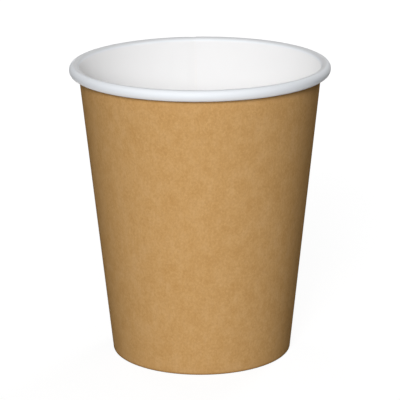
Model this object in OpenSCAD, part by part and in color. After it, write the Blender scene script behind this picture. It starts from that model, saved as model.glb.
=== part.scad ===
// Single-wall paper hot cup: a wrapped side wall with a rolled rim and a folded hem, and a skirted base.
// The cup stands on the origin, +Z is up and the side seam is at the back, on +Y.

/* [Cup] */
// Height from the table to the top of the rim
cup_h = 91.5; // [70:0.5:150]
// Diameter over the rolled rim
rim_d = 80; // [72:0.5:100]
// Diameter of the wall's outside face where it meets the table
foot_d = 55.8; // [45:0.1:64]

/* [Board] */
// Thickness of the side wall's board
wall_t = 0.35; // [0.25:0.01:0.5]
// Thickness of the base's board
base_t = 0.3; // [0.2:0.01:0.5]
// Clearance between board faces that are sealed or rolled together
seal_gap = 0.03; // [0.02:0.01:0.08]

/* [Rolled rim] */
// Width of the roll, from the wall's inside face to the outside of the rim
roll_w = 3.1; // [2.8:0.1:5]
// Height of the roll
roll_h = 3.4; // [3:0.1:5]
// Turn of the board from the top of the wall to its edge inside the roll, in degrees
roll_turn = 420; // [370:10:450]

/* [Side seam] */
// Width of the lap at half the cup's height
seam_w = 7; // [4:0.5:12]
// Width over which the outer layer comes back to the cone beside the lap
ramp_w = 3; // [1.5:0.5:3]
// Direction of the lap's inside edge, in degrees round the cup, with the back at 90
seam_angle = 92; // [0:1:359]

/* [Foot] */
// Height of the hem that is folded up inside the base's skirt
hem_h = 6.8; // [4:0.1:12]
// Distance from the hem's edge up to the bend of the base
hem_gap = 0.4; // [0.1:0.1:3]
// Inside radius of the bend between the base's disc and its skirt
bend_r = 0.4; // [0.2:0.1:1.5]
// Distance from the skirt's edge down to the fold that closes under it
skirt_gap = 0.3; // [0.1:0.1:1.5]
// Width of the flat ring that the cup stands on
land_w = 0.4; // [0.2:0.05:0.5]

/* [Hidden] */
$fn = 180;

// Largest turn between two points of a rounded outline, in degrees
arc_step = 18;
// Extra depth of a cutter past the face it cuts
cut_past = 0.5;

// The fold at the foot wraps the skirt's edge: its inside and outside radius and the height of its centre
fold_in = base_t / 2 + seal_gap;
fold_out = fold_in + wall_t;
fold_z = sqrt(pow(fold_out, 2) - pow(land_w / 2, 2));
land_angle = asin(land_w / 2 / fold_out);

// The roll is an oval spiral that winds in by one layer between its top and its way back to the wall.
// At its outermost point a third of that layer is lost, and at its lowest point two thirds.
layer = wall_t + seal_gap;
wind_turn = 270;
roll_half_w = (roll_w + layer / 3) / 2;
roll_half_h = (roll_h + layer * 2 / 3) / 2;
roll_r = rim_d / 2 - roll_half_w + layer / 3;
roll_z = cup_h - roll_half_h;

// Slope of the wall's inside face, which starts above the foot and ends tangent to the roll
function wall_slope(slope, rounds) =
    rounds == 0 ? slope :
    wall_slope(
        (roll_r - norm([roll_half_w, slope * roll_half_h]) - foot_d / 2 + wall_t * norm([1, slope])) / roll_z,
        rounds - 1
    );
slope = wall_slope(0, 6);
taper = atan(slope);
roll_start = 180 - atan(slope * roll_half_h / roll_half_w);
roll_end = roll_start - roll_turn;

fold_r = foot_d / 2 + slope * fold_z - fold_out / cos(taper);
bend_z = hem_h + hem_gap;
base_z = bend_z + bend_r;
base_top = base_z + base_t;

// Angles of the lap and of the ramp beside it, from their widths at half the cup's height.
// The ramp's plane leans in to the cone where it runs out, and is deepest that same angle further round.
seam_r = foot_d / 2 + slope * cup_h / 2;
lap_angle = seam_w / seam_r * 180 / PI;
ramp_angle = ramp_w / seam_r * 180 / PI;
ramp_lean = atan(wall_t / ramp_w - ramp_w / seam_r / 2);
ramp_sweep = ramp_angle + ramp_lean;

// Point of the section at a distance out across the wall and up along it, both from the fold's centre
function on_wall(across, along) =
    [fold_r, fold_z] + across * [cos(taper), -sin(taper)] + along * [sin(taper), cos(taper)];

// Distance along the wall at which a line that lies this far across it reaches height z
function along_at(across, z) = (z - fold_z + across * sin(taper)) / cos(taper);

// Points of a round arc, from one angle to another
function arc(centre, r, from, to) =
    let (steps = ceil(abs(to - from) / arc_step))
    [for (i = [0 : steps])
        let (a = from + (to - from) * i / steps)
        centre + r * [cos(a), sin(a)]];

// Points of the roll at a depth under its outer skin, at each of a list of angles
function roll(depth, angles) =
    [for (a = angles)
        let (
            wound = layer * max(0, 90 - a) / wind_turn,
            half_w = roll_half_w - wound,
            half_h = roll_half_h - wound,
            out = [half_h * cos(a), half_w * sin(a)]
        )
        [roll_r + half_w * cos(a), roll_z + half_h * sin(a)] - depth * out / norm(out)];

// Angles of the roll's points, which include its top at 90 and its outermost point at 0
roll_first = 90 + arc_step * (ceil((roll_start - 90) / arc_step) - 1);
roll_down = concat([roll_start], [for (a = roll_first; a > roll_end; a = a - arc_step) a], [roll_end]);
roll_back = [for (i = [len(roll_down) - 1 : -1 : 0]) roll_down[i]];

// Section of the side wall: round the fold, up the outside, round the roll and back down the inside
hem_top = along_at(-fold_out, hem_h);
wall_section = concat(
    arc(on_wall(0, 0), fold_out, -180 - taper, -90 - land_angle),
    arc(on_wall(0, 0), fold_out, -90 + land_angle, -taper),
    roll(wall_t, roll_down),
    roll(0, roll_back),
    arc(on_wall(0, 0), fold_in, -taper, -180 - taper),
    [on_wall(-fold_in, hem_top), on_wall(-fold_out, hem_top)]
);

// Section of the outer layer at the lap: one board thickness outside the wall, rounded in to the flat ring.
// Its top is hidden between the turns of the roll.
lap_out = fold_out + wall_t;
lap_in = fold_out - wall_t / 2;
lap_top = roll_z + layer / 2;
lap_foot = asin(fold_z / lap_out);
lap_section = concat(
    arc(on_wall(0, 0), lap_out, -lap_foot, -taper),
    [on_wall(lap_out, along_at(lap_out, lap_top)), on_wall(lap_in, along_at(lap_in, lap_top))],
    [on_wall(lap_in, 0), [fold_r + land_w / 2, 0]]
);

// Section of the groove inside, beside the lap's inside edge, from the base up to the roll
groove_low = along_at(fold_in, base_top);
groove_high = along_at(fold_in, roll_z);
groove_section = [
    on_wall(fold_in - cut_past, groove_low),
    on_wall(fold_out, groove_low),
    on_wall(fold_out, groove_high),
    on_wall(fold_in - cut_past, groove_high)
];

// Section of the base: the disc, the bend and the skirt that follows the wall down
bend = on_wall(-base_t / 2 - bend_r, along_at(-base_t / 2 - bend_r, bend_z));
base_section = concat(
    [[0, base_top]],
    arc(bend, bend_r + base_t, 90, -taper),
    [on_wall(base_t / 2, skirt_gap), on_wall(-base_t / 2, skirt_gap)],
    arc(bend, bend_r, -taper, 90),
    [[0, base_z]]
);

// Block outside the ramp's plane, which meets the face at this distance across the wall where the ramp runs out
module outside_ramp(across) {
    reach = 2 * ramp_w;
    foot = on_wall(across, 0);
    rotate([0, 0, seam_angle + ramp_angle])
        translate([foot.x, 0, foot.y])
            rotate([0, taper, 0])
                rotate([0, 0, ramp_lean])
                    translate([0, -reach, -cup_h])
                        cube([reach, 2 * reach, 3 * cup_h]);
}

// Outer layer of the lap and the ramp beside it
module lap() {
    difference() {
        rotate([0, 0, seam_angle - lap_angle])
            rotate_extrude(angle = lap_angle + ramp_sweep)
                polygon(lap_section);
        outside_ramp(fold_out);
    }
}

// Space between the lap's inside edge and the outer layer that ramps away from it
module groove() {
    difference() {
        rotate([0, 0, seam_angle])
            rotate_extrude(angle = ramp_sweep)
                polygon(groove_section);
        outside_ramp(fold_in);
    }
}

// Side wall, one wrapped blank of board: brown outside and white inside
module side_wall() {
    color("#c49c68")
        difference() {
            union() {
                rotate_extrude()
                    polygon(wall_section);
                lap();
            }
            groove();
        }
}

// Base, a round of white board with its edge turned down between the wall and the hem
module base() {
    color("#f1f0ec")
        rotate_extrude()
            polygon(base_section);
}

side_wall();
base();
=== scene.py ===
import bpy
from math import atan, cos, hypot, pi, radians, sin, sqrt
from mathutils import Matrix, Vector


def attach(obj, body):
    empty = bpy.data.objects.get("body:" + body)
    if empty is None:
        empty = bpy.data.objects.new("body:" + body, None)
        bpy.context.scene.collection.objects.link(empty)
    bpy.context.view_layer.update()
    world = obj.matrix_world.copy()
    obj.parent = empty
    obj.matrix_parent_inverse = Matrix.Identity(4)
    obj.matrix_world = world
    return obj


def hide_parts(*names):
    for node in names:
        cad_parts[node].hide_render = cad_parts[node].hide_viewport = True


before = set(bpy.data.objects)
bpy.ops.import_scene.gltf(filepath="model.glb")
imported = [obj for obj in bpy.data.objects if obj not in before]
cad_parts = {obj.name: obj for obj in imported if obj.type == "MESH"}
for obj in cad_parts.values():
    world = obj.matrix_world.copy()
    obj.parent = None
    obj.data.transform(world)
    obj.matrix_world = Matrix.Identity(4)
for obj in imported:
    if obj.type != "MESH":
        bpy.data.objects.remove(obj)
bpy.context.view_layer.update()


# Side wall: one fan-shaped blank of paper board, kraft brown on the outside and coated white on the inside.
# It is wrapped to a cone with a lapped seam at the back. Its top edge is rolled out and down into the rim,
# and its bottom edge is folded in and up as a hem round the base's skirt. Sizes here are in millimetres.
MM = 0.001
CUP_H = 91.5
RIM_D = 80.0
FOOT_D = 55.8
WALL_T = 0.35
BASE_T = 0.3
SEAL_GAP = 0.03
ROLL_W = 3.1
ROLL_H = 3.4
ROLL_TURN = radians(420)
WIND_TURN = radians(270)  # from the roll's top back to the wall, where it has wound in by one layer
SEAM_W = 7.0
RAMP_W = 3.0
SEAM_ANGLE = radians(92)
HEM_H = 6.8
LAND_W = 0.4
LAP_GLUE = 0.01
LAP_PRESS = 0.75  # share of its thickness that the board keeps where it is lapped and sealed
ROLL_PRESS = 0.4  # the same over the roll's top, where it is pressed hardest
ROLL_PRESSED = radians(60)  # turn from the wall to where the roll is pressed hardest
LAP_WIND_TURN = radians(180)  # turn over which the lap's extra thickness winds in
SLOPE_ROUNDS = 6  # rounds that settle the wall's slope, which depends on itself

# The fold at the foot: its inside and outside radius and the height of its centre
fold_in = BASE_T / 2 + SEAL_GAP
fold_out = fold_in + WALL_T
fold_z = sqrt(fold_out ** 2 - (LAND_W / 2) ** 2)

# The roll: a third of a layer is wound in at its outermost point, and two thirds at its lowest
layer = WALL_T + SEAL_GAP
roll_half_w = (ROLL_W + layer / 3) / 2
roll_half_h = (ROLL_H + layer * 2 / 3) / 2
roll_r = RIM_D / 2 - roll_half_w + layer / 3
roll_z = CUP_H - roll_half_h

# The wall between them: its slope, where it meets the roll and the fold, and the angles of the lap
slope = 0.0
for _ in range(SLOPE_ROUNDS):
    top_r = roll_r - hypot(roll_half_w, slope * roll_half_h)
    slope = (top_r - FOOT_D / 2 + WALL_T * hypot(1, slope)) / roll_z
taper = atan(slope)
roll_start = pi - atan(slope * roll_half_h / roll_half_w)
fold_r = FOOT_D / 2 + slope * fold_z - fold_out / cos(taper)
seam_r = FOOT_D / 2 + slope * CUP_H / 2
lap_angle = SEAM_W / seam_r
ramp_angle = RAMP_W / seam_r


def on_wall(across, along):
    """Radius and height of a point this far out across the wall and up along it, from the fold's centre."""
    return (fold_r + across * cos(taper) + along * sin(taper),
            fold_z - across * sin(taper) + along * cos(taper))


def along_at(across, z):
    """Distance along the wall at which a line that lies this far across it reaches height z."""
    return (z - fold_z + across * sin(taper)) / cos(taper)


def smooth(x):
    """0 below 0, 1 above 1, and an even ease between them."""
    x = min(1.0, max(0.0, x))
    return x * x * (3 - 2 * x)


def even(start, end, steps):
    """Evenly spaced values, both ends included."""
    return [start + (end - start) * i / steps for i in range(steps + 1)]


def roll_white(a, extra):
    """White face of the roll at angle a, and the way to its brown face. A lap's extra thickness winds in."""
    wound = layer * max(0.0, pi / 2 - a) / WIND_TURN + extra * max(0.0, -a) / LAP_WIND_TURN
    half_w = roll_half_w - wound
    half_h = roll_half_h - wound
    out = hypot(half_h * cos(a), half_w * sin(a))
    return (roll_r + half_w * cos(a), roll_z + half_h * sin(a),
            -half_h * cos(a) / out, -half_w * sin(a) / out)


# Stations along the board, from the hem's edge to the edge inside the roll. Each gives the white face's
# radius and height and the way to the brown face, or on the roll the angle from which they follow.
HEM_STEPS, FOLD_STEPS, WALL_STEPS, ROLL_STEPS = 10, 16, 44, 72
hem_top = along_at(-fold_out, HEM_H)
wall_top = (roll_z + roll_half_h * sin(roll_start) - on_wall(fold_in, 0)[1]) / cos(taper)
stations = []
for along in even(hem_top, 0.0, HEM_STEPS)[:-1]:
    stations.append(("hem", (*on_wall(-fold_in, along), -cos(taper), sin(taper))))
for a in even(-pi - taper, -taper, FOLD_STEPS)[:-1]:
    stations.append(("fold", (fold_r + fold_in * cos(a), fold_z + fold_in * sin(a), cos(a), sin(a))))
for along in even(0.0, wall_top, WALL_STEPS)[:-1]:
    stations.append(("wall", (*on_wall(fold_in, along), cos(taper), -sin(taper))))
for a in even(roll_start, roll_start - ROLL_TURN, ROLL_STEPS):
    stations.append(("roll", a))

# Directions round the cup, from the lap's outside edge once round to its inside edge, closer at the seam
LAP_STEPS, RAMP_STEPS, ROUND_STEPS = 10, 10, 216
lap_start = SEAM_ANGLE - lap_angle
ramp_end = SEAM_ANGLE + ramp_angle
turn_end = SEAM_ANGLE + 2 * pi
columns = even(lap_start, SEAM_ANGLE, LAP_STEPS)[:-1]
columns += even(SEAM_ANGLE, ramp_end, RAMP_STEPS)[:-1]
columns += even(ramp_end, turn_end - lap_angle, ROUND_STEPS)[:-1]
columns += even(turn_end - lap_angle, turn_end, LAP_STEPS)


def pressed(station):
    """Share of its thickness that the board keeps in the lap, which is pressed hardest over the roll."""
    kind, path = station
    if kind != "roll":
        return LAP_PRESS
    return LAP_PRESS + (ROLL_PRESS - LAP_PRESS) * smooth((roll_start - path) / ROLL_PRESSED)


def wall_point(station, turn, brown):
    """Place of a point of the board's white or brown face, in metres. The lap's outer layer is lifted."""
    kind, path = station
    kept = pressed(station)
    outer = 1 - smooth((turn - SEAM_ANGLE) / ramp_angle)
    inner = smooth((turn - turn_end + lap_angle + ramp_angle) / ramp_angle)
    lapped = max(outer, inner)
    under = WALL_T * kept + LAP_GLUE
    if kind == "roll":
        path = roll_white(path, under * lapped)
    r, z, to_r, to_z = path
    deep = under * outer + (WALL_T * (1 - lapped * (1 - kept)) if brown else 0.0)
    r += deep * to_r
    z = max(0.0, z + deep * to_z)
    return (r * cos(turn) * MM, r * sin(turn) * MM, z * MM)


# Turns of the roll, counted from the wall, by which its painted shade is full over the crest, between which
# it eases to a painted lighter, bluer tone down the front, and between which it ends underneath
CREST_SHADE_BY = radians(55)
FRONT_FROM, FRONT_TO = radians(80), radians(110)
UNDER_FROM, UNDER_TO = radians(170), radians(210)
FRONT_MASK_LEVEL = 0.45


def roll_light_shade(station):
    """Share of the roll's painted tone: 1 as shade over its top, less as a lit tone down its front, 0
    elsewhere.
    """
    kind, path = station
    if kind != "roll":
        return 0.0
    turned = roll_start - path
    front = smooth((turned - FRONT_FROM) / (FRONT_TO - FRONT_FROM))
    under = smooth((turned - UNDER_FROM) / (UNDER_TO - UNDER_FROM))
    return smooth(turned / CREST_SHADE_BY) * (1 - (1 - FRONT_MASK_LEVEL) * front) * (1 - under)


KRAFT_SLOT, COATED_SLOT, HEM_SLOT, CUT_SLOT = range(4)


def brown_slot(station):
    return HEM_SLOT if station[0] == "hem" else KRAFT_SLOT


def wall_sheet(name):
    """The closed sheet of the side wall: its two faces, and strips round its four cut edges."""
    rows, cols = len(stations), len(columns)

    def at(i, j, brown):
        return (rows * cols if brown else 0) + i * cols + j

    faces, slots = [], []
    for i in range(rows - 1):
        for j in range(cols - 1):
            faces.append((at(i, j, 0), at(i, j + 1, 0), at(i + 1, j + 1, 0), at(i + 1, j, 0)))
            faces.append((at(i, j, 1), at(i + 1, j, 1), at(i + 1, j + 1, 1), at(i, j + 1, 1)))
            slots += [COATED_SLOT, brown_slot(stations[i])]
    last, end = rows - 1, cols - 1
    for i in range(last):
        faces.append((at(i, 0, 0), at(i + 1, 0, 0), at(i + 1, 0, 1), at(i, 0, 1)))
        faces.append((at(i, end, 0), at(i, end, 1), at(i + 1, end, 1), at(i + 1, end, 0)))
    for j in range(end):
        faces.append((at(0, j, 0), at(0, j, 1), at(0, j + 1, 1), at(0, j + 1, 0)))
        faces.append((at(last, j, 0), at(last, j + 1, 0), at(last, j + 1, 1), at(last, j, 1)))
    slots += [CUT_SLOT] * (len(faces) - len(slots))
    mesh = bpy.data.meshes.new(name)
    points = [wall_point(s, c, brown) for brown in (False, True) for s in stations for c in columns]
    mesh.from_pydata(points, [], faces)
    mesh.polygons.foreach_set("material_index", slots)
    mesh.polygons.foreach_set("use_smooth", [True] * len(faces))
    # Mask of the roll's painted light and shade: a grey crest and a lighter, bluer front.
    roll_light_shade_mask = mesh.attributes.new("roll_light_shade_mask", "FLOAT", "POINT")
    one_face = [roll_light_shade(s) for s in stations for _ in columns]
    roll_light_shade_mask.data.foreach_set("value", one_face + one_face)
    mesh.update()
    return mesh


def sharpen_cut(mesh):
    """Marks the borders of the cut edges as sharp."""
    seen = {}
    for p in mesh.polygons:
        for key in p.edge_keys:
            seen.setdefault(key, set()).add(p.material_index)
    for e in mesh.edges:
        e.use_edge_sharp = CUT_SLOT in seen[e.key] and len(seen[e.key]) > 1


def add_node(tree, kind, inputs, **settings):
    """A new node with these settings. Each input gets a number or a colour, or a link from an output."""
    made = tree.nodes.new("ShaderNode" + kind)
    for name, value in settings.items():
        setattr(made, name, value)
    for key, value in inputs.items():
        if isinstance(value, bpy.types.NodeSocket):
            tree.links.new(value, made.inputs[key])
        else:
            made.inputs[key].default_value = value
    return made


def reckon(tree, operation, *values, clamp=False):
    """Output of a Math node on numbers and outputs."""
    return add_node(tree, "Math", dict(enumerate(values)), operation=operation, use_clamp=clamp).outputs[0]


NOISE_MID = 0.5
STREAK_SIZE = 0.9
STREAK_STRETCH = 25.0
HAIR_SIZE = 2.2  # in flecks
HAIR_THIN = 22.0
HAIR_FROM_CLOUD = 0.42  # hairs lie only where the board is cloudier than this
HAIR_EDGE = 6.0
HAIR_RELIEF = 0.35


def fibre_group():
    """Pulp fibres of paper board: fine flecks, soft clouds, faint machine streaks, hairs and relief."""
    tree = bpy.data.node_groups.new("paper_fibres", "ShaderNodeTree")
    tree.interface.new_socket("Place", in_out="INPUT", socket_type="NodeSocketVector")
    for name in ("Fleck size", "Cloud size", "Up and down stretch"):
        tree.interface.new_socket(name, in_out="INPUT", socket_type="NodeSocketFloat")
    given = tree.nodes.new("NodeGroupInput").outputs
    split = add_node(tree, "SeparateXYZ", {0: given["Place"]})
    x, y, z = (reckon(tree, "DIVIDE", s, MM) for s in split.outputs)

    def stretched(amount):
        return add_node(tree, "CombineXYZ", {0: x, 1: y, 2: reckon(tree, "DIVIDE", z, amount)}).outputs[0]

    def noise(vector, size, detail, rough, distortion=0.0):
        values = {"Vector": vector, "Scale": reckon(tree, "DIVIDE", 1.0, size), "Detail": detail,
                  "Roughness": rough, "Distortion": distortion}
        return add_node(tree, "TexNoise", values).outputs["Fac"]

    along = stretched(given["Up and down stretch"])
    hair_size = reckon(tree, "MULTIPLY", given["Fleck size"], HAIR_SIZE)
    fleck = noise(along, given["Fleck size"], detail=2.5, rough=0.65, distortion=0.4)
    cloud = noise(along, given["Cloud size"], detail=3.0, rough=0.6)
    streak = noise(stretched(STREAK_STRETCH), STREAK_SIZE, detail=2.0, rough=0.6)
    strand = noise(along, hair_size, detail=1.0, rough=0.5, distortion=2.5)
    ridge = reckon(tree, "ABSOLUTE", reckon(tree, "SUBTRACT", strand, NOISE_MID))
    thin = reckon(tree, "SUBTRACT", 1.0, reckon(tree, "MULTIPLY", ridge, HAIR_THIN), clamp=True)
    cloudier = reckon(tree, "SUBTRACT", cloud, HAIR_FROM_CLOUD)
    hair = reckon(tree, "MULTIPLY", thin, reckon(tree, "MULTIPLY", cloudier, HAIR_EDGE, clamp=True))
    relief = reckon(tree, "ADD", fleck, reckon(tree, "MULTIPLY", hair, HAIR_RELIEF))
    results = {"Fleck": fleck, "Cloud": cloud, "Streak": streak, "Hair": hair, "Relief": relief}
    for name in results:
        tree.interface.new_socket(name, in_out="OUTPUT", socket_type="NodeSocketFloat")
    put_out = tree.nodes.new("NodeGroupOutput").inputs
    for name, value in results.items():
        tree.links.new(value, put_out[name])
    return tree


paper_fibres = fibre_group()
ROUGH_SPREAD = 0.12


class Finish:
    """A paper finish: a material with the fibre group in it, which takes these sizes in millimetres."""

    def __init__(self, name, roughness, specular, fleck, cloud, stretch):
        self.material = bpy.data.materials.new(name)
        self.material.use_nodes = True
        self.tree = self.material.node_tree
        self.shader = self.tree.nodes["Principled BSDF"]
        self.shader.inputs["Specular IOR Level"].default_value = specular
        self.place = self.add("TexCoord", {}).outputs["Object"]
        fibres = self.tree.nodes.new("ShaderNodeGroup")
        fibres.node_tree = paper_fibres
        self.tree.links.new(self.place, fibres.inputs["Place"])
        for key, value in (("Fleck size", fleck), ("Cloud size", cloud), ("Up and down stretch", stretch)):
            fibres.inputs[key].default_value = value
        self.fibre = fibres.outputs
        rough = self.reckon("ADD", self.spread("Fleck", ROUGH_SPREAD), roughness, clamp=True)
        self.shade("Roughness", rough)

    def add(self, kind, inputs, **settings):
        return add_node(self.tree, kind, inputs, **settings)

    def reckon(self, operation, *values, clamp=False):
        return reckon(self.tree, operation, *values, clamp=clamp)

    def shade(self, socket, value):
        """Feeds a value that varies over the surface to the shader."""
        self.tree.links.new(value, self.shader.inputs[socket])

    def spread(self, name, amount):
        """A fibre value centred on 0 and scaled to this amount."""
        return self.reckon("MULTIPLY", self.reckon("SUBTRACT", self.fibre[name], NOISE_MID), amount)

    def tint(self, base, tone, amount):
        """Mixes the colour so far towards a tone, by an amount that varies over the surface."""
        values = {"Factor": amount, "A": rgba(base), "B": rgba(tone)}
        return self.add("Mix", values, data_type="RGBA").outputs["Result"]

    def bump(self, height, depth):
        """Relief in the surface, with a height of 1 as deep as this many millimetres."""
        values = {"Strength": 1.0, "Distance": depth * MM, "Height": height}
        self.shade("Normal", self.add("Bump", values).outputs["Normal"])


def rgba(colour):
    """A plain colour with its alpha. An output is left as it is."""
    return (*colour, 1.0) if isinstance(colour, tuple) else colour


KRAFT_MID = (0.603, 0.344, 0.130)
KRAFT_DARK = (0.523, 0.270, 0.080)
KRAFT_PALE = (0.676, 0.416, 0.192)
FLECK_DARK = (0.434, 0.228, 0.076)
FLECK_PALE = (0.785, 0.491, 0.207)
CLOUD_MIX, STREAK_MIX, FLECK_MIX, HAIR_MIX = 1.6, 0.5, 1.3, 0.12
FOOT_SHADE_LOW, FOOT_SHADE_HIGH = 0.3, 0.9  # heights at which the painted shade along the foot's fold is full and ends
KRAFT_RELIEF = 0.03
HEM_RIBS = 120.0
HEM_RIB_HEIGHT = 1.5


def kraft(name, rib_height=0.0):
    """Unbleached kraft face with painted shade along the fold at the foot, and ribs where they have a
    height.
    """
    face = Finish(name, roughness=0.78, specular=0.0, fleck=0.62, cloud=3.6, stretch=1.25)
    darker = face.reckon("ADD", face.spread("Cloud", CLOUD_MIX), face.spread("Streak", STREAK_MIX))
    paler = face.reckon("ADD", face.spread("Cloud", -CLOUD_MIX), face.spread("Streak", -STREAK_MIX))
    colour = face.tint(KRAFT_MID, KRAFT_DARK, darker)
    colour = face.tint(colour, KRAFT_PALE, paler)
    colour = face.tint(colour, FLECK_DARK, face.spread("Fleck", FLECK_MIX))
    colour = face.tint(colour, FLECK_PALE, face.spread("Fleck", -FLECK_MIX))
    colour = face.tint(colour, FLECK_DARK, face.reckon("MULTIPLY", face.fibre["Hair"], HAIR_MIX))
    # Painted shade: the kraft turns to the dark fleck tone in the last millimetre above the floor, round the
    # fold.
    x, y, z = face.add("SeparateXYZ", {0: face.place}).outputs
    heights = {"Value": z, "From Min": FOOT_SHADE_HIGH * MM, "From Max": FOOT_SHADE_LOW * MM}
    painted_foot_shade = face.add("MapRange", heights).outputs["Result"]
    face.shade("Base Color", face.tint(colour, FLECK_DARK, painted_foot_shade))
    relief = face.fibre["Relief"]
    if rib_height:
        turn = face.reckon("ARCTAN2", y, x)
        ribs = face.reckon("SINE", face.reckon("MULTIPLY", turn, HEM_RIBS))
        relief = face.reckon("ADD", relief, face.reckon("MULTIPLY", ribs, rib_height))
    face.bump(relief, KRAFT_RELIEF)
    return face.material


COATED_INSIDE = (0.852, 0.843, 0.836)
# The front's tone is the inside's white painted lighter and bluer as lit by the key, and the crest's is
# painted shade.
COATED_FRONT = (0.84, 0.861, 0.886)
COATED_CREST_SHADE = (0.706, 0.708, 0.716)
FORMATION_GREY = (0.70, 0.70, 0.70)
FORMATION_MIX = 0.06
COATED_RELIEF = 0.006
INSIDE_MATT = 0.4


def coated(name):
    """White face under a thin clear film, matt on the wall, with painted light and shade on the roll."""
    face = Finish(name, roughness=0.5, specular=0.12, fleck=0.7, cloud=6.0, stretch=1.3)
    roll_light_shade_mask = face.add("Attribute", {}, attribute_name="roll_light_shade_mask").outputs["Fac"]
    # Painted light and shade on the roll: the mask mixes the inside white to a lit front tone and a shaded
    # crest grey.
    tones = face.add("ValToRGB", {0: roll_light_shade_mask})
    tones.color_ramp.elements.new(FRONT_MASK_LEVEL)
    for stop, tone in zip(tones.color_ramp.elements, (COATED_INSIDE, COATED_FRONT, COATED_CREST_SHADE)):
        stop.color = rgba(tone)
    formation = face.reckon("MULTIPLY", face.fibre["Cloud"], FORMATION_MIX)
    face.shade("Base Color", face.tint(tones.outputs["Color"], FORMATION_GREY, formation))
    matt = {"Value": roll_light_shade_mask, "From Max": FRONT_MASK_LEVEL, "To Min": INSIDE_MATT, "To Max": 0.0}
    face.shade("Diffuse Roughness", face.add("MapRange", matt).outputs["Result"])
    face.bump(face.fibre["Relief"], COATED_RELIEF)
    return face.material


PULP_PALE = (0.70, 0.62, 0.48)
PULP_BROWN = (0.50, 0.40, 0.27)
PULP_MIX, BROWN_SHARE = 3.0, 0.4
CUT_RELIEF = 0.03


def cut_edge(name):
    """Cut edge of the board, where the pale pulp between its two faces shows."""
    face = Finish(name, roughness=0.9, specular=0.05, fleck=0.12, cloud=1.5, stretch=1.0)
    brown = face.reckon("ADD", face.spread("Fleck", PULP_MIX), BROWN_SHARE)
    face.shade("Base Color", face.tint(PULP_PALE, PULP_BROWN, brown))
    face.bump(face.fibre["Relief"], CUT_RELIEF)
    return face.material


wall_mesh = wall_sheet("cup_wall")
sharpen_cut(wall_mesh)
coated_face = coated("coated_face")
board_edge = cut_edge("board_edge")
kraft_face = kraft("kraft_face")
kraft_hem = kraft("kraft_hem", rib_height=HEM_RIB_HEIGHT)
for material in (kraft_face, coated_face, kraft_hem, board_edge):
    wall_mesh.materials.append(material)
cup_wall = bpy.data.objects.new("cup_wall", wall_mesh)
bpy.context.collection.objects.link(cup_wall)
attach(cup_wall, "root")
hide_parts("side_wall")


# Base: a round of white board, coated on the drink's side, with its edge turned down as a skirt.
# The skirt is sealed between the wall and the hem, so only the disc shows, from above and in the recess.
HEM_GAP = 0.4
BEND_R = 0.4
SKIRT_GAP = 0.3
BASE_SAG = 0.12
BASE_STEPS = 180
DISC_STEPS, BEND_STEPS, SKIRT_STEPS = 16, 8, 6
bend_low = HEM_H + HEM_GAP
bend_across = -BASE_T / 2 - BEND_R
bend_along = along_at(bend_across, bend_low)
bend_r, bend_z = on_wall(bend_across, bend_along)
bend_out = BEND_R + BASE_T
base_top = bend_low + bend_out

# Stations of the base's coated face, from its middle out, round the bend and down the skirt
base_stations = []
for r in even(0.0, bend_r, DISC_STEPS)[:-1]:
    base_stations.append((r, base_top - BASE_SAG * (1 - smooth(r / bend_r)), 0.0, -1.0))
for a in even(pi / 2, -taper, BEND_STEPS):
    base_stations.append((bend_r + bend_out * cos(a), bend_z + bend_out * sin(a), -cos(a), -sin(a)))
for along in even(bend_along, SKIRT_GAP, SKIRT_STEPS)[1:]:
    base_stations.append((*on_wall(BASE_T / 2, along), -cos(taper), sin(taper)))

DRINK_SLOT, UNDER_SLOT, SKIRT_EDGE_SLOT = range(3)


def base_sheet(name):
    """The closed sheet of the base, turned once round the cup's axis."""
    rings, faces, slots = [], [], []
    for deep in (0.0, BASE_T):
        for r, z, to_r, to_z in base_stations:
            r, z = max(0.0, r + deep * to_r), z + deep * to_z
            turns = even(0.0, 2 * pi, BASE_STEPS)[:-1] if r > 0 else [0.0]
            rings.append([(r * cos(t) * MM, r * sin(t) * MM, z * MM) for t in turns])
    start = [0]
    for ring in rings:
        start.append(start[-1] + len(ring))

    def at(row, j):
        return start[row] + (j % BASE_STEPS if len(rings[row]) > 1 else 0)

    rows = len(base_stations)
    for slot, first in ((DRINK_SLOT, 0), (UNDER_SLOT, rows)):
        for a in range(first, first + rows - 1):
            for j in range(BASE_STEPS):
                corners = tuple(dict.fromkeys((at(a, j), at(a + 1, j), at(a + 1, j + 1), at(a, j + 1))))
                faces.append(corners if slot == DRINK_SLOT else corners[::-1])
                slots.append(slot)
    skirt, skirt_under = rows - 1, 2 * rows - 1
    for j in range(BASE_STEPS):
        faces.append((at(skirt, j), at(skirt_under, j), at(skirt_under, j + 1), at(skirt, j + 1)))
        slots.append(SKIRT_EDGE_SLOT)
    mesh = bpy.data.meshes.new(name)
    mesh.from_pydata([v for ring in rings for v in ring], [], faces)
    mesh.polygons.foreach_set("material_index", slots)
    mesh.polygons.foreach_set("use_smooth", [s != SKIRT_EDGE_SLOT for s in slots])
    mesh.update()
    return mesh


PLAIN_WHITE = (0.80, 0.795, 0.77)
PLAIN_GREY = (0.70, 0.69, 0.655)
PLAIN_FIBRE = (0.62, 0.60, 0.55)
PLAIN_MIX, GREY_SHARE, PLAIN_HAIR_MIX = 1.6, 0.3, 0.25
PLAIN_RELIEF = 0.02


def plain_board(name):
    """Uncoated white board on the base's underside."""
    face = Finish(name, roughness=0.85, specular=0.15, fleck=0.5, cloud=5.0, stretch=1.0)
    grey = face.reckon("ADD", face.spread("Fleck", PLAIN_MIX), GREY_SHARE)
    hairs = face.reckon("MULTIPLY", face.fibre["Hair"], PLAIN_HAIR_MIX)
    face.shade("Base Color", face.tint(face.tint(PLAIN_WHITE, PLAIN_GREY, grey), PLAIN_FIBRE, hairs))
    face.bump(face.fibre["Relief"], PLAIN_RELIEF)
    return face.material


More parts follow.
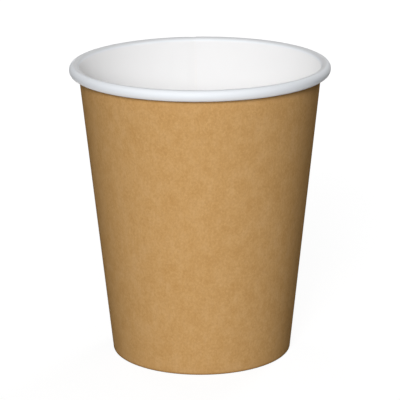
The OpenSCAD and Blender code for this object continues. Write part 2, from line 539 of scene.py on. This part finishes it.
cup_base = bpy.data.objects.new("cup_base", base_sheet("cup_base"))
bpy.context.collection.objects.link(cup_base)
for material in (coated_face, plain_board("plain_face"), board_edge):
    cup_base.data.materials.append(material)
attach(cup_base, "root")
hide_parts("base")


# Studio floor: a plain pale sweep under the cup. It shows as white to the camera and in reflections, a
# little less so near the cup, and it keeps the cup's soft shadow. Sizes from here on are in metres.
FLOOR_HALF = 4.0
FLOOR_DROP = 0.00005
FLOOR_GREY = 0.15
GLOW_NEAR, GLOW_FAR = 0.90, 1.0
GLOW_FROM, GLOW_TO = 0.1, 0.7
WHITE = (1.0, 1.0, 1.0)


def seen_rays(tree):
    """1 for what the camera sees, directly, in a reflection or through glass, and 0 for light on the cup."""
    path = add_node(tree, "LightPath", {}).outputs
    direct = reckon(tree, "MAXIMUM", path["Is Camera Ray"], path["Is Glossy Ray"])
    return reckon(tree, "MAXIMUM", direct, path["Is Transmission Ray"])


floor_mesh = bpy.data.meshes.new("floor")
corners = [(x * FLOOR_HALF, y * FLOOR_HALF, -FLOOR_DROP) for x, y in ((-1, -1), (1, -1), (1, 1), (-1, 1))]
floor_mesh.from_pydata(corners, [], [(0, 1, 2, 3)])
floor = bpy.data.objects.new("floor", floor_mesh)
bpy.context.collection.objects.link(floor)
floor_paint = bpy.data.materials.new("floor_paint")
floor_paint.use_nodes = True
tree = floor_paint.node_tree
paint = tree.nodes["Principled BSDF"].inputs
paint["Base Color"].default_value = rgba((FLOOR_GREY, FLOOR_GREY, FLOOR_GREY))
paint["Roughness"].default_value = 1.0
paint["Specular IOR Level"].default_value = 0.0
paint["Emission Color"].default_value = rgba(WHITE)
place = add_node(tree, "TexCoord", {}).outputs["Object"]
reach = add_node(tree, "VectorMath", {0: place}, operation="LENGTH").outputs["Value"]
fade = add_node(tree, "MapRange", {"Value": reach, "From Min": GLOW_FROM, "From Max": GLOW_TO,
                                   "To Min": GLOW_NEAR, "To Max": GLOW_FAR})
glow = reckon(tree, "MULTIPLY", seen_rays(tree), fade.outputs["Result"])
tree.links.new(glow, paint["Emission Strength"])
floor_mesh.materials.append(floor_paint)


# Studio room: even white walls all round. The camera and the reflections see them as white, and they light
# the cup only faintly.
ROOM_LIGHT = 0.02
world = bpy.data.worlds.new("room")
bpy.context.scene.world = world
world.use_nodes = True
tree = world.node_tree
room = tree.nodes["Background"].inputs
room["Color"].default_value = rgba(WHITE)
level = add_node(tree, "MapRange", {"Value": seen_rays(tree), "To Min": ROOM_LIGHT, "To Max": 1.0})
tree.links.new(level.outputs["Result"], room["Strength"])


# Studio lamps: round soft boxes. The key stands just left of the camera and a little above it, two weaker
# ones stand behind the cup on either side, and a faint one hangs overhead. Only the key shows in the gloss.
KEY_TINT = (0.99, 1.0, 1.015)


def soft_box(name, azimuth, elevation, distance, size, power, tint=WHITE, in_gloss=False):
    """A soft box aimed at the cup's middle. Azimuth 0 is the camera's side and 90 the cup's right."""
    lamp = bpy.data.lights.new(name, "AREA")
    lamp.shape = "DISK"
    lamp.size = size
    lamp.energy = power
    lamp.color = tint
    box = bpy.data.objects.new(name, lamp)
    a, e = radians(azimuth), radians(elevation)
    way = Vector((sin(a) * cos(e), -cos(a) * cos(e), sin(e)))
    box.location = Vector((0, 0, CUP_H / 2 * MM)) + way * distance
    box.rotation_euler = way.to_track_quat("Z", "Y").to_euler()
    box.visible_camera = False
    box.visible_glossy = in_gloss
    bpy.context.collection.objects.link(box)


soft_box("key_box", azimuth=-7, elevation=22.5, distance=1.5, size=0.6, power=21.8,
         tint=KEY_TINT, in_gloss=True)
soft_box("back_left_box", azimuth=-150, elevation=22, distance=1.5, size=0.5, power=3.4)
soft_box("back_right_box", azimuth=150, elevation=22, distance=1.5, size=0.5, power=9.6)
soft_box("top_box", azimuth=0, elevation=88, distance=1.0, size=0.7, power=1.3)


# Camera: the photograph's viewpoint, in front of the cup and a little above its rim. It looks down 16
# degrees, given below in radians, and its long lens has no shift and no depth of field.
EYE = (0.0, -0.6342, 0.2294)
PITCH, YAW, ROLL = 0.2792, -0.0004, -0.0066
SENSOR_MM, LENS_MM = 36.0, 190.66
SEEN_FROM, SEEN_TO = 0.01, 20.0
cam_data = bpy.data.cameras.new("camera")
cam_data.sensor_width = SENSOR_MM
cam_data.lens = LENS_MM
cam_data.clip_start = SEEN_FROM
cam_data.clip_end = SEEN_TO
camera = bpy.data.objects.new("camera", cam_data)
bpy.context.collection.objects.link(camera)
ahead = Vector((sin(YAW) * cos(PITCH), cos(YAW) * cos(PITCH), -sin(PITCH)))
level_right = ahead.cross(Vector((0, 0, 1))).normalized()
level_up = level_right.cross(ahead)
right = level_right * cos(ROLL) + level_up * sin(ROLL)
up = level_up * cos(ROLL) - level_right * sin(ROLL)
turned = Matrix((right, up, -ahead)).transposed()
camera.matrix_world = Matrix.Translation(EYE) @ turned.to_4x4()
bpy.context.scene.camera = camera
bpy.context.scene.view_settings.view_transform = "Standard"
